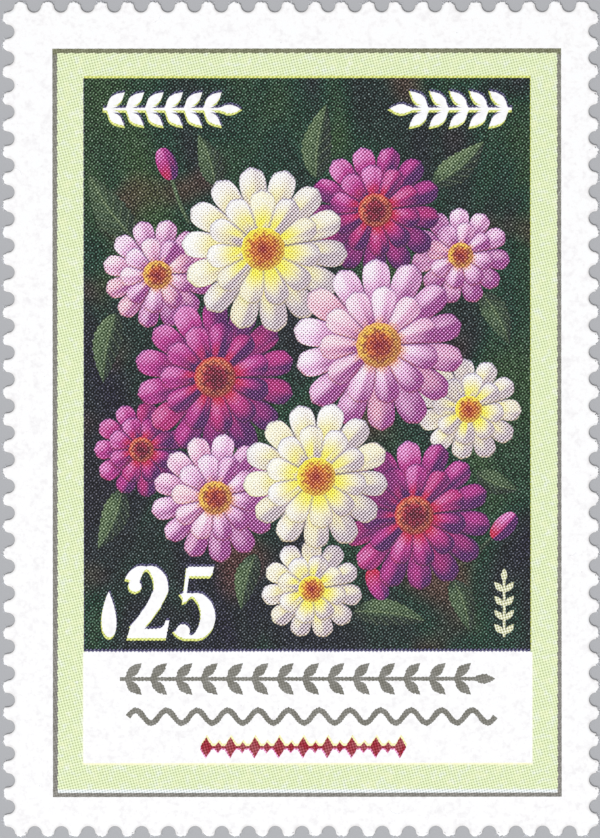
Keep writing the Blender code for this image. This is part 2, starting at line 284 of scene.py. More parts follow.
# Parts of a bloom, as shares of its radius, and the gap between rays.
INNER_RING = 0.70
EYE_SHARE = 0.26
NOTCH = 0.66
RAY_GAP = 0.022
FEWER_INNER_RAYS = 3
EYE_SEGMENTS = 52
EYE_SCALLOPS = 13

# How the rays of a ring differ: in length, in lightness and in how far they twist.
RAY_STRETCH = (0.955, 1.0)
RAY_LIFT = 0.07
RAY_TWIST = 0.25

# Columns and rows of the patches.
RAY_GRID = (18, 10)
LEAF_GRID = (8, 44)
STALK_GRID = (3, 12)
BUD_GRID = (8, 16)

# Leaves: foot, heading in degrees, length and width.
LEAVES = (
    ((-10.40, 11.20), 125, 5.00, 2.20),
    ((-5.40, 14.60), 108, 3.30, 1.60),
    ((0.90, 15.00), 82, 4.70, 2.00),
    ((8.20, 14.60), 40, 4.20, 1.90),
    ((11.20, 7.90), -62, 3.70, 1.70),
    ((-11.60, 6.60), -100, 4.40, 1.90),
    ((-11.20, -4.40), -112, 4.00, 1.80),
    ((-2.90, -8.40), -104, 3.60, 1.60),
    ((3.20, -12.00), -8, 4.60, 1.80),
    ((10.90, -3.40), -22, 2.80, 1.50),
    ((9.40, -10.00), -72, 3.40, 1.60),
)
LEAF_TEETH = 9
LEAF_BEND = 0.05

# Buds: foot of the stalk and middle of the bud.
BUDS = (
    ((-7.00, 12.20), (-8.40, 15.90)),
    ((10.80, -8.60), (12.60, -6.70)),
    ((3.40, -7.60), (4.70, -10.30)),
)
BUD_HALF_LENGTH = 1.05
BUD_HALF_WIDTH = 0.62
STALK_WIDTH = 0.26
STALK_BEND = 0.10

# The light in the printed picture comes from the upper left, and shade falls low right.
PICTURE_LIGHT = (-0.50, 0.52, 0.69)
PICTURE_CONTRAST = 1.25
SHADOW_SHIFT = (0.22, -0.26)
DEEPEST_SHADE = 0.30

# Studio: a square lamp, the light from around, and the floor.
LAMP_SIZE = 1260
LAMP_ENERGY = 40.5
LAMP_PLACE = (-570, -1260, 1920)
SKY_COLOUR = (0.97, 0.98, 1.0, 1)
SKY_STRENGTH = 0.50
FLOOR_HALF_WIDTH = 600
FLOOR_LEVEL = -0.02


def flat_box(node):
    """A node's left, bottom, right and top in millimetres."""
    low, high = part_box(node)
    return (low[0] / MM, low[1] / MM, high[0] / MM, high[1] / MM)


GUM_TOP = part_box("gum_film")[1][2] / MM
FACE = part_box("paper_sheet")[1][2] / MM
PICTURE = flat_box("picture_ground")
LINE_RECTANGLE = flat_box("frame_line")
LINE_WIDTH = flat_box("tint_band")[0] - LINE_RECTANGLE[0]


def srgb(*channels):
    """An sRGB colour from 0 to 255 as linear light."""
    shares = [channel / 255 for channel in channels]
    return tuple(s / 12.92 if s <= 0.04045 else ((s + 0.055) / 1.055) ** 2.4 for s in shares)


PAPER_WHITE = srgb(252, 251, 253)
YELLOW_FRINGE = srgb(250, 238, 150)
VIOLET_FRINGE = srgb(188, 186, 232)


def smooth(low, high, value):
    share = min(max((value - low) / (high - low), 0), 1)
    return share * share * (3 - 2 * share)


class Value:
    """A socket among a material's nodes. Arithmetic on it adds Math nodes."""

    def __init__(self, finish, socket):
        self.finish = finish
        self.socket = socket

    def math(self, operation, *values):
        return self.finish.node("Math", {"operation": operation}, dict(enumerate(values)))

    def __add__(self, other):
        return self.math("ADD", self, other)

    def __sub__(self, other):
        return self.math("SUBTRACT", self, other)

    def __rsub__(self, other):
        return self.math("SUBTRACT", other, self)

    def __mul__(self, other):
        return self.math("MULTIPLY", self, other)

    def __truediv__(self, other):
        return self.math("DIVIDE", self, other)

    def __pow__(self, other):
        return self.math("POWER", self, other)

    __radd__ = __add__
    __rmul__ = __mul__

    def cosine(self):
        return self.math("COSINE", self)

    def size(self):
        return self.math("ABSOLUTE", self)

    def fraction(self):
        return self.math("FRACT", self)

    def larger(self, other):
        return self.math("MAXIMUM", self, other)

    def smaller(self, other):
        return self.math("MINIMUM", self, other)

    def clamped(self):
        return self.larger(0).smaller(1)

    def rise(self, low, high):
        """0 below low, 1 above high and a smooth step between."""
        limits = {"Value": self, "From Min": low, "From Max": high}
        return self.finish.node("MapRange", {"interpolation_type": "SMOOTHSTEP"}, limits)

    def fall(self, low, high):
        return 1 - self.rise(low, high)


class Finish:
    """A Principled material whose nodes are written as expressions."""

    def __init__(self, name, roughness=0.5, **sockets):
        self.material = bpy.data.materials.new(name)
        self.material.use_nodes = True
        self.tree = self.material.node_tree
        self.shader = self.tree.nodes["Principled BSDF"]
        self.set("Roughness", roughness)
        for socket, value in sockets.items():
            self.set(socket.replace("_", " ").title().replace("Ior", "IOR"), value)
        place = self.node("TexCoord", output="Object")
        self.spot = self.node("VectorMath", {"operation": "SCALE"}, {0: place, "Scale": 1 / MM})
        self.x, self.y = [self.node("SeparateXYZ", None, {0: self.spot}, output=axis)
                          for axis in "XY"]

    def node(self, kind, settings=None, inputs=None, output=0):
        """Add a node with its settings and the values or links of its sockets."""
        made = self.tree.nodes.new("ShaderNode" + kind)
        for name, value in (settings or {}).items():
            if name == "stops":
                self.set_stops(made.color_ramp, value)
            else:
                setattr(made, name, value)
        for name, value in (inputs or {}).items():
            self.feed(made.inputs[name], value)
        return Value(self, made.outputs[output])

    def set_stops(self, ramp, stops):
        while len(ramp.elements) < len(stops):
            ramp.elements.new(1)
        for element, (place, colour) in zip(ramp.elements, stops):
            element.position = place
            element.color = (*colour, 1)

    def feed(self, socket, value):
        if isinstance(value, Value):
            self.tree.links.new(value.socket, socket)
        elif socket.type == "RGBA":
            socket.default_value = (*value[:3], 1)
        else:
            socket.default_value = value

    def set(self, socket, value):
        self.feed(self.shader.inputs[socket], value)

    def attribute(self, name):
        return self.node("Attribute", {"attribute_name": name}, output="Fac")

    def noise(self, scale, detail, vector=None, distortion=0.0):
        inputs = {"Vector": vector or self.spot, "Scale": scale, "Detail": detail,
                  "Distortion": distortion}
        return self.node("TexNoise", None, inputs)

    def cells(self, scale):
        inputs = {"Vector": self.spot, "Scale": scale}
        return self.node("TexVoronoi", None, inputs, output="Distance")

    def vector(self, x, y, z=0.0):
        return self.node("CombineXYZ", None, {0: x, 1: y, 2: z})

    def ramp(self, value, *stops):
        """A colour that follows a value through places with sRGB colours."""
        linear = [(place, srgb(*colour)) for place, colour in stops]
        return self.node("ValToRGB", {"stops": linear}, {0: value})

    def blend(self, share, first, second, how="MIX"):
        settings = {"data_type": "RGBA", "blend_type": how}
        return self.node("Mix", settings, {0: share, 6: first, 7: second}, output=2)

    def bump(self, height, depth):
        """Relief from a height between 0 and 1, with its depth in millimetres."""
        inputs = {"Height": height, "Distance": depth * MM, "Strength": 1.0}
        self.set("Normal", self.node("Bump", None, inputs))

    def dots(self, share, angle, softness=SHARP_DOTS):
        """Where one ink lies: round dots in a square grid, larger as its share grows."""
        turn = math.radians(angle)
        wave = TAU / SCREEN_PITCH
        along = self.x * (math.cos(turn) * wave) + self.y * (math.sin(turn) * wave)
        across = self.y * (math.cos(turn) * wave) - self.x * (math.sin(turn) * wave)
        bias = ROW_BIAS if angle == MAGENTA_ANGLE else 0
        level = (along.cosine() * (1 - bias) + across.cosine() * (1 + bias)) / 4 + 0.5
        curve = [(place, (height,) * 3) for place, height in TONE_CURVE]
        threshold = self.node("ValToRGB", {"stops": curve}, {0: share})
        return ((threshold * (1 + softness) - level) / softness).clamped()

    def seen(self, colour):
        """The colour on a scale that is even to the eye."""
        return self.node("Gamma", None, {0: colour, 1: 1 / EYE_GAMMA})

    def stepped(self, colour, step):
        """The colour made lighter by a step that is as large to the eye in every channel."""
        darkest, lightest = SEEN_RANGE
        shown = self.seen(colour)
        for operation, other in (("ADD", self.vector(step, step, step)),
                                 ("MAXIMUM", (darkest,) * 3), ("MINIMUM", (lightest,) * 3)):
            shown = self.node("VectorMath", {"operation": operation}, {0: shown, 1: other})
        return self.node("Gamma", None, {0: shown, 1: EYE_GAMMA})

    def printed(self, colour, strong, fine, softness=SHARP_DOTS, speckle=GRAIN):
        """A colour as its screens print it: dots that are larger where it is darker."""
        light = self.node("RGBToBW", None, {0: self.seen(colour)})
        grain = self.noise(4.5, 1) - 0.5
        ink = ((1 - light) / (1 - DARKEST) + grain * UNEVEN).larger(0).smaller(FULLEST)
        step = (ink - self.dots(ink, MAGENTA_ANGLE, softness)) * ((1 - DARKEST) * strong)
        share = ink * 0.5 + 0.2
        for angle in (CYAN_ANGLE, BLACK_ANGLE):
            step = step + (share - self.dots(share, angle, SOFT_DOTS)) * fine
        return self.stepped(colour, step + (self.noise(6.5, 1) - 0.5) * speckle)

    def toned(self, colour, contrast, share=0.5, angle=CYAN_ANGLE):
        """A flat ink with a trace of its screen."""
        return self.stepped(colour, (share - self.dots(share, angle, SOFT_DOTS)) * contrast)

    def coloured(self, colour, relief=INK_RELIEF):
        """The finished material, which shows the felt-like relief of the paper."""
        self.set("Base Color", colour)
        if relief:
            self.bump(self.noise(9, 5) * 0.6 + self.noise(38, 3) * 0.4, relief)
        return self.material


def ink(name, roughness=0.5):
    """The finish of an ink, with the gloss that all of them share."""
    return Finish(name, roughness, specular_ior_level=INK_GLOSS)


def hole_distance(finish):
    """Distance from the nearest perforation hole's rim."""
    nearest = None
    for run, half, rise, half_rise in ((finish.x, HALF_WIDTH, finish.y, HALF_HEIGHT - ROW_INSET),
                                       (finish.y, HALF_HEIGHT, finish.x, HALF_WIDTH)):
        beside = (((run + half) / PITCH + 0.5).fraction() - 0.5) * PITCH
        inward = half_rise - rise.size()
        distance = (beside ** 2 + inward ** 2) ** 0.5
        nearest = distance if nearest is None else nearest.smaller(distance)
    return nearest - HOLE_RADIUS


def paper_finish():
    finish = Finish("white stamp paper", roughness=0.80, specular_ior_level=0.25)
    mottle = finish.noise(1.3, 2) * 0.4 + finish.noise(4.2, 4) * 0.6
    tone = finish.ramp(mottle, (0.34, (242, 240, 241)), (0.50, (252, 251, 251)),
                       (0.66, (251, 252, 254)))
    speck = finish.cells(1.35).fall(0.035, 0.06) * finish.noise(0.3, 1).rise(0.50, 0.62)
    tone = finish.blend(speck * 0.35, tone, srgb(140, 140, 150))
    # Painted shade: a soft warm grey darkening of the paper close round each perforation hole,
    # patchy by noise, where its rolled rim would be in shade.
    painted_rim_shade = hole_distance(finish).fall(-0.05, 0.19) * (0.35 + finish.noise(3, 2))
    tone = finish.blend(painted_rim_shade * 0.42, tone, srgb(176, 168, 162))
    return finish.coloured(tone, PAPER_RELIEF)


def gum_finish():
    finish = Finish("gum", roughness=0.24, coat_weight=0.35, coat_roughness=0.12)
    ridges = (finish.y * (TAU / 1.05) + finish.noise(0.25, 2) * 3).cosine()
    film = finish.noise(1.6, 5)
    tone = finish.ramp(film, (0.3, (233, 227, 207)), (0.7, (243, 239, 226)))
    finish.set("Roughness", 0.20 + film * 0.16)
    finish.bump(ridges * 0.25 + film, GUM_RELIEF)
    return finish.coloured(tone, relief=0)


def fibre_finish():
    finish = Finish("paper fibre", roughness=0.7)
    tone = finish.ramp(finish.noise(2, 1), (0.3, (240, 243, 252)), (0.7, (254, 254, 255)))
    return finish.coloured(tone, relief=0)


def tint_finish():
    """Yellow-green of two light screens, which don't end at the same line."""
    finish = ink("pale green tint ink", 0.6)
    left, _, right, top = PICTURE
    beside = (left - finish.x).larger(finish.x - right).larger(finish.y - top)
    under = PANEL_BOTTOM - finish.y
    at_picture = finish.y.rise(PICTURE[1] - 0.05, PICTURE[1])
    yellow = (beside.rise(-0.01, 0.10) + under.rise(-0.12, -0.06) + at_picture).smaller(1)
    yellow = yellow * finish.y.rise(LINE_RECTANGLE[1] + 0.36, LINE_RECTANGLE[1] + 0.54)
    cyan = (beside.rise(0, 0.13) + under.rise(-0.02, 0.07) + at_picture).smaller(1)
    blotch = finish.noise(2.6, 3) - 0.5
    yellow = (yellow * (1 - blotch.larger(0) * 2.0)).clamped()
    cyan = cyan * (1 - (finish.noise(1.6, 3) - 0.50).larger(0) * 1.2)
    without = finish.blend(cyan, PAPER_WHITE, srgb(232, 239, 238))
    within = finish.blend(cyan, srgb(252, 249, 206), srgb(218, 230, 183))
    colour = finish.blend(yellow, without, within)
    colour = finish.stepped(colour, (finish.noise(9, 2) - 0.5) * 0.17)
    return finish.coloured(finish.toned(colour, cyan * 0.33, 0.26), THIN_INK_RELIEF)


def line_finish():
    finish = ink("brown grey line ink", 0.6)
    colour = finish.ramp((finish.y + LINE_DRIFT) / (2 * LINE_DRIFT), (0, (135, 132, 126)),
                         (1, (135, 134, 124)))
    colour = finish.blend(finish.y.rise(*LINE_TOP), colour, srgb(122, 123, 98))
    uneven = finish.noise(3.2, 2) * 0.5 - 0.25
    colour = finish.stepped(colour, uneven * 0.4)
    return finish.coloured(finish.toned(colour, 0.16), THIN_INK_RELIEF)


def plate_finish(name, colour, contrast=0.15):
    """The part of a plate that shows where it is out of register."""
    finish = ink(name, 0.55)
    return finish.coloured(finish.toned(srgb(*colour), contrast, 0.5, MAGENTA_ANGLE), relief=0)


def ground_finish():
    """Foliage out of focus: wide soft blades in greens, with earth tones between them."""
    finish = ink("dark ground ink")
    drift = finish.noise(0.06, 2)
    bent = finish.vector(finish.x + drift * 9, finish.y * 0.45 - drift * 7)
    blades = finish.noise(0.17, 2, bent, distortion=0.5) + finish.y * 0.0028
    colour = finish.ramp(blades, (0.30, (18, 17, 36)), (0.42, (20, 29, 33)),
                         (0.53, (16, 52, 37)), (0.70, (44, 70, 38)))
    crossing = finish.vector(finish.x * 0.5 + finish.y * 0.3, finish.y - finish.x * 0.6)
    haze = finish.noise(0.12, 1, crossing).rise(0.52, 0.74)
    colour = finish.blend(haze * 0.45, colour, srgb(28, 20, 36))
    earth = finish.noise(0.14, 1, finish.vector(finish.x + 31, finish.y - 17)).rise(0.60, 0.76)
    colour = finish.blend(earth * 0.6, colour, srgb(92, 52, 46))
    return finish.coloured(finish.printed(colour, 0.60, 0.19, BLURRED_DOTS, COARSE_GRAIN))


def leaf_finish():
    finish = ink("leaf ink")
    across = finish.attribute("across")
    along = finish.attribute("along")
    tone = finish.attribute("tone")
    colour = finish.ramp(tone, (0.1, (36, 48, 42)), (0.45, (60, 80, 58)),
                         (0.8, (88, 108, 76)), (1.0, (124, 140, 104)))
    side = across.size()
    branch = ((along * 7 - side * 1.5).fraction() - 0.5).size().rise(0.36, 0.46)
    rib = side.fall(0.03, 0.10)
    veins = (branch * 0.45 * along.fall(0.8, 1) + rib).smaller(1)
    colour = finish.blend(veins * 0.5, colour, srgb(118, 134, 96))
    return finish.coloured(finish.printed(colour, 0.56, 0.18, BLURRED_DOTS, LEAF_GRAIN))


def petal_finish(name, shade, body, light, heart, heart_reach, contrast):
    """Petals lit by their own relief, with a heart colour at the foot and fine veins.

    Edges that face down show more of the yellow plate, and those that face up show less.
    """
    finish = ink(name)
    across = finish.attribute("across")
    along = finish.attribute("along")
    number = finish.attribute("number")
    streaks = finish.noise(1, 2, finish.vector(across * 3.2 + number * 40, along * 1.1))
    tone = finish.attribute("tone") + (streaks - 0.5) * 0.26 + (number - 0.5) * 0.10
    colour = finish.ramp(tone, (0.05, shade), (0.50, body), (0.92, light))
    foot = along.fall(heart_reach * 0.25, heart_reach) * (0.75 + streaks * 0.4)
    foot = foot.clamped().larger(number.rise(0.45, 1) * PETAL_VARIETY)
    colour = finish.blend(foot * tone.rise(0, 0.45), colour, srgb(*heart))
    fringe = finish.attribute("fringe")
    colour = finish.blend(fringe.larger(0), colour, YELLOW_FRINGE, "MULTIPLY")
    colour = finish.blend((0 - fringe).larger(0), colour, VIOLET_FRINGE, "MULTIPLY")
    dark = [0.45 * channel for channel in srgb(*shade)]
    broken = finish.dots(finish.attribute("rim") * 0.55, MAGENTA_ANGLE, SOFT_DOTS)
    return finish.coloured(finish.blend(broken, finish.printed(colour, contrast, 0.14), dark))


def eye_finish(name, centre, middle, rim, foot, seed_colour):
    """A domed disc of tiny florets: darker at the centre, bright outside, lost in the petals."""
    finish = ink(name)
    along = finish.attribute("along")
    tone = finish.attribute("tone")
    colour = finish.ramp(along, (0.10, centre), (0.50, middle), (0.80, rim), (1.0, foot))
    florets = finish.cells(4.6)
    seeds = florets.rise(0.42, 0.62) * along.fall(0.70, 1)
    colour = finish.blend(seeds * 0.75, colour, srgb(*seed_colour))
    colour = finish.blend(tone.fall(0.15, 0.55) * 0.55, colour, srgb(*seed_colour))
    return finish.coloured(finish.printed(colour, 0.50, 0.12))


def plain_ink(name, colour, contrast=0.14):
    finish = ink(name, 0.55)
    patchy = finish.noise(1.8, 3)
    shown = finish.blend(patchy.rise(0.3, 0.7) * 0.07, srgb(*colour), PAPER_WHITE)
    return finish.coloured(finish.toned(shown, contrast))


def placed(name, data):
    """A new object in the scene, at the origin."""
    thing = bpy.data.objects.new(name, data)
    bpy.context.scene.collection.objects.link(thing)
    return thing


def piece(name, bm, materials, slot, *nodes):
    """Finish a piece: it is scaled to metres, rides on the stamp and stands for its nodes."""
    bmesh.ops.scale(bm, vec=(MM, MM, MM), verts=bm.verts)
    mesh = bpy.data.meshes.new(name)
    bm.to_mesh(mesh)
    bm.free()
    for material in materials:
        mesh.materials.append(material)
    thing = placed(name, mesh)
    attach(thing, "root")
    if nodes:
        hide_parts(*nodes)


def take_shape(bm, thing):
    """Add an object's final shape to a bmesh, with its bevel and its modifiers."""
    bpy.context.view_layer.update()
    evaluated = thing.evaluated_get(bpy.context.evaluated_depsgraph_get())
    bm.from_mesh(evaluated.to_mesh())
    evaluated.to_mesh_clear()


def thicken(bm, faces, depth):
    """Give flat faces a thickness downward and close the sides."""
    raised = bmesh.ops.extrude_face_region(bm, geom=faces, use_keep_orig=True)["geom"]
    corners = [item for item in raised if isinstance(item, bmesh.types.BMVert)]
    bmesh.ops.translate(bm, vec=(0, 0, -depth), verts=corners)
    bmesh.ops.recalc_face_normals(bm, faces=bm.faces)


def closed_loop(bm, outline, height):
    corners = [bm.verts.new((x, y, height)) for x, y in outline]
    return [bm.edges.new(pair) for pair in zip(corners, corners[1:] + corners[:1])]


def fill(bm, edges):
    filled = bmesh.ops.triangle_fill(bm, use_beauty=True, edges=edges, normal=(0, 0, 1))
    return [item for item in filled["geom"] if isinstance(item, bmesh.types.BMFace)]


def film(outlines, level):
    """A film of ink with outlines, those inside another being holes, at a level on the face."""
    bm = bmesh.new()
    edges = []
    for outline in outlines:
        edges += closed_loop(bm, outline, FACE + level + FILM)
    thicken(bm, fill(bm, edges), FILM)
    return bm


def polar(middle, radius, angle):
    return (middle[0] + radius * math.cos(angle), middle[1] + radius * math.sin(angle))


def rectangle(left, bottom, right, top):
    return [(left, bottom), (right, bottom), (right, top), (left, top)]


def inset(box, amount):
    left, bottom, right, top = box
    return (left + amount, bottom + amount, right - amount, top - amount)


def along(foot, heading, points):
    """Points given as run and rise, laid out from a foot along a heading."""
    run_x, run_y = math.cos(heading), math.sin(heading)
    return [
        (foot[0] + run * run_x - rise * run_y, foot[1] + run * run_y + rise * run_x)
        for run, rise in points
    ]


def refined(outline):
    """The outline with its long edges divided."""
    points = []
    for start, end in zip(outline, outline[1:] + outline[:1]):
        pieces = max(1, math.ceil(math.dist(start, end) / EDGE_STEP))
        for index in range(pieces):
            share = index / pieces
            points.append((start[0] + (end[0] - start[0]) * share,
                           start[1] + (end[1] - start[1]) * share))
    return points


def screened(outline, depth, angle=MAGENTA_ANGLE, under=None):
    """The outline as the dots of a screen break it: ragged, but not where it is a fine point.

    An edge that faces down may be given a depth of its own.
    """
    outline = refined(outline)
    turn = math.radians(angle)
    wave = TAU / SCREEN_PITCH
    count = len(outline)
    scatter = random.Random(count)
    ragged = []
    for index, (x, y) in enumerate(outline):
        before = outline[index - 1]
        after = outline[(index + 1) % count]
        straight = min(math.dist(outline[index - reach], outline[(index + reach) % count])
                       / sum(math.dist(outline[(index + near) % count],
                                       outline[(index + near + 1) % count])
                             for near in range(-reach, reach)) for reach in BEND_REACHES)
        run, rise = after[0] - before[0], after[1] - before[1]
        length = math.hypot(run, rise) or 1
        u = (x * math.cos(turn) + y * math.sin(turn)) * wave
        v = (y * math.cos(turn) - x * math.sin(turn)) * wave
        deep = under if under and run / length > FACING_DOWN else depth
        screen = (math.cos(u) + math.cos(v)) / 2 + scatter.uniform(-SCATTER, SCATTER)
        push = deep * screen * smooth(BENT, STRAIGHT, straight)
        ragged.append((x + rise / length * push, y - run / length * push))
    return ragged


def ribbon(path, half_width):
    """Outline of a stroke along a path, with the half width that each heading gives."""
    left, right = [], []
    for index, point in enumerate(path):
        before = path[max(index - 1, 0)]
        after = path[min(index + 1, len(path) - 1)]
        heading = math.atan2(after[1] - before[1], after[0] - before[0])
        reach = half_width(heading)
        left.append(polar(point, reach, heading + TAU / 4))
        right.append(polar(point, reach, heading - TAU / 4))
    return left + right[::-1]


def arc(middle, radii, start, end):
    """Points on an ellipse between two angles in degrees."""
    points = []
    for step in range(ARC_STEPS + 1):
        angle = math.radians(start + (end - start) * step / ARC_STEPS)
        points.append((middle[0] + radii[0] * math.cos(angle),
                       middle[1] + radii[1] * math.sin(angle)))
    return points


def ball(middle):
    """The ball that ends a stroke of the numeral."""
    return [polar(middle, BALL_RADIUS, TAU * step / BALL_STEPS) for step in range(BALL_STEPS)]


def pen(heading):
    """Half width of a broad pen, thick on upright strokes and thin on level ones."""
    return (PEN_THIN + (PEN_THICK - PEN_THIN) * abs(math.sin(heading))) / 2


def digit_two():
    bowl = arc((1.33, 3.28), (0.92, 1.17), 165, -18)
    bowl += [(2.06, 2.66), (1.85, 2.22), (1.56, 1.78), (1.25, 1.35), (0.90, 0.95), (0.55, 0.55)]
    foot = [(0.10, 0.00), (2.55, 0.00), (2.78, 1.25), (2.55, 1.25), (2.46, 0.98), (2.25, 0.78),
            (1.90, 0.73), (0.30, 0.72)]
    return [ribbon(bowl, pen), foot, ball((0.62, 3.32))]


def digit_five():
    flag = [(0.72, 3.86), (2.20, 3.86), (2.36, 4.10), (2.48, 4.60), (0.86, 4.60)]
    stem = [(0.72, 4.50), (0.96, 4.50), (0.70, 2.30), (0.45, 2.20)]
    bowl = arc((1.05, 1.46), (1.02, 1.31), 125, -145)
    return [flag, stem, ribbon(bowl, pen), ball((0.53, 0.58))]


def numeral_strokes():
    strokes = []
    for left, shapes in ((TWO_LEFT, digit_two()), (FIVE_LEFT, digit_five())):
        for shape in shapes:
            strokes.append([(x + left, y + DIGITS_BOTTOM) for x, y in shape])
    return strokes


def twig_leaf(length, width):
    """One leaf of a printed twig, from its foot over the tip and back, pointed at the end."""
    shares = [(step + 0.6) / (TWIG_LEAF_STEPS + 0.6) for step in range(TWIG_LEAF_STEPS)]
    upper = [(share * length, 0.5 * width * math.sin(math.pi * share ** 0.85)) for share in shares]
    lower = [(run, -rise) for run, rise in reversed(upper)]
    return upper + [(length, 0)] + lower[:-1]


def twig(start, end, pairs, leaf_length, leaf_width, stem_width):
    """Outline of a straight twig with leaf pairs that lean towards its tip."""
    length = math.dist(start, end)
    heading = math.atan2(end[1] - start[1], end[0] - start[0])
    rise = stem_width / 2
    last = length - leaf_length
    leaf = twig_leaf(leaf_length, leaf_width)
    upper = [(0, rise)]
    for pair in range(pairs):
        foot = (pair + FIRST_PAIR) / pairs * last
        upper.append((foot - leaf_width * LEAF_FOOT_START, rise))
        upper += along((foot, rise), TWIG_LEAN, leaf)
        upper.append((foot + leaf_width * LEAF_FOOT_END, rise))
    tip = twig_leaf(length - last, leaf_width)
    upper += [(last, rise)] + [(last + run, across) for run, across in tip if across > rise]
    lower = [(run, -across) for run, across in reversed(upper)]
    return along(start, heading, upper + [(length, 0)] + lower)


def wave(left, right, middle, height, turns, width):
    """Outline of a running wave."""
    steps = turns * STEPS_PER_TURN
    path = []
    for step in range(steps + 1):
        share = step / steps
        rise = (height - width) / 2 * math.sin(share * turns * TAU)
        path.append((left + (right - left) * share, middle + rise))
    return ribbon(path, lambda heading: width / 2)


def chain(left, right, middle, links, height, thread):
    """Outline of pointed links on a thread, large and small by turns."""
    pitch = (right - left) / (2 * links - 1)
    upper = []
    for link in range(2 * links - 1):
        centre = left + (link + 0.5) * pitch
        peak = height / 2 if link % 2 == 0 else height / 4
        half = pitch * (0.46 if link % 2 == 0 else 0.26)
        upper += [(centre - half, thread / 2), (centre, peak), (centre + half, thread / 2)]
    lower = [(x, -y) for x, y in reversed(upper)]
    return [(x, middle + y) for x, y in upper + lower]


def drop(middle, half_width, half_height):
    """Outline of a drop that stands on its round end."""
    points = []
    for step in range(DROP_STEPS):
        angle = TAU * step / DROP_STEPS
        narrow = math.sin(angle / 2) ** 0.9
        points.append((middle[0] + half_width * math.sin(angle) * narrow,
                       middle[1] + half_height * math.cos(angle)))
    return points


def rounding(share):
    """How far a tooth's tip falls back, by the share of the way to its corner."""
    return TIP_ROUNDING * abs(share) ** 3


def perforated_outline(inward):
    """The edge of the sheet, drawn in by a distance: half holes with torn teeth between."""
    tear = random.Random(31)
    sides = (
        ((-HALF_WIDTH, -HALF_HEIGHT), 0, PITCHES_ACROSS, REACH_OTHERS, ROW_INSET),
        ((HALF_WIDTH, -HALF_HEIGHT), TAU / 4, PITCHES_DOWN, REACH_OTHERS, 0),
        ((HALF_WIDTH, HALF_HEIGHT), TAU / 2, PITCHES_ACROSS, REACH_OTHERS, ROW_INSET),
        ((-HALF_WIDTH, HALF_HEIGHT), TAU * 3 / 4, PITCHES_DOWN, REACH_LEFT, 0),
    )
    radius = HOLE_RADIUS + inward
    calm = 1 - CALM * smooth(0, CALM_INWARD, inward)
    outline = []
    for corner, heading, pitches, reach, row in sides:
        edge = []
        for step in range(HOLE_STEPS // 2 + 1):
            turn = TAU / 4 + TAU / 2 * step / HOLE_STEPS
            edge.append((-radius * math.cos(turn), radius * math.sin(turn)))
        for tooth in range(pitches):
            middle = (tooth + 0.5) * PITCH
            lean = tear.uniform(-TEAR_LEAN, TEAR_LEAN)
            for step in range(TIP_STEPS):
                share = 2 * step / (TIP_STEPS - 1) - 1
                torn = tear.uniform(-TEAR, TEAR) + lean * share
                spread = TIP_HALF_WIDTH + tear.uniform(*TEAR_SPREAD)
                height = reach - rounding(share) + torn * calm - inward
                run = share * max(spread - inward * TIP_NARROWING, LEAST_TIP)
                edge.append((middle + run, -height))
            if tooth == pitches - 1:
                break
            for step in range(HOLE_STEPS + 1):
                turn = TAU / 2 * step / HOLE_STEPS
                run = (tooth + 1) * PITCH - radius * math.cos(turn)
                edge.append((run, row + radius * math.sin(turn)))
        outline += along(corner, heading, edge)
    return outline


def make_sheet(paper, gum):
    """The paper with its rolled, torn edge, and the film of gum under it."""
    bm = bmesh.new()
    foot = closed_loop(bm, perforated_outline(PAPER_FOOT_INWARD), GUM_TOP)
    last = foot
    for inward, under in RIM:
        loop = closed_loop(bm, perforated_outline(inward), FACE - under)
        bmesh.ops.bridge_loops(bm, edges=last + loop)
        last = loop
    fill(bm, last)
    fill(bm, foot)
    bmesh.ops.recalc_face_normals(bm, faces=bm.faces)
    piece("torn_paper_sheet", bm, [paper], "paper", "paper_sheet")
    bm = bmesh.new()
    top = closed_loop(bm, perforated_outline(GUM_TOP_INWARD), GUM_TOP)
    foot = closed_loop(bm, perforated_outline(GUM_FOOT_INWARD), 0)
    bmesh.ops.bridge_loops(bm, edges=top + foot)
    fill(bm, top)
    fill(bm, foot)
    bmesh.ops.recalc_face_normals(bm, faces=bm.faces)
    piece("gum_coat", bm, [gum], "gum", "gum_film")


def tooth_middles():
    """Each tooth's middle on the hole line, the heading out of the sheet and the reach."""
    middles = []
    for tooth in range(PITCHES_ACROSS):
        run = (tooth + 0.5) * PITCH - HALF_WIDTH
        middles += [((run, -HALF_HEIGHT), -TAU / 4, REACH_OTHERS),
                    ((run, HALF_HEIGHT), TAU / 4, REACH_OTHERS)]
    for tooth in range(PITCHES_DOWN):
        rise = (tooth + 0.5) * PITCH - HALF_HEIGHT
        middles += [((-HALF_WIDTH, rise), TAU / 2, REACH_LEFT),
                    ((HALF_WIDTH, rise), 0, REACH_OTHERS)]
    return middles


def hair(curve, points, thickness):
    """One fibre through points, thinner at its ends."""
    spline = curve.splines.new("POLY")
    spline.points.add(len(points) - 1)
    for index, (point, place) in enumerate(zip(spline.points, points)):
        share = index / (len(points) - 1)
        point.co = (*place, 1)
        point.radius = thickness * (1 - FIBRE_TAPER * (2 * share - 1) ** 2)


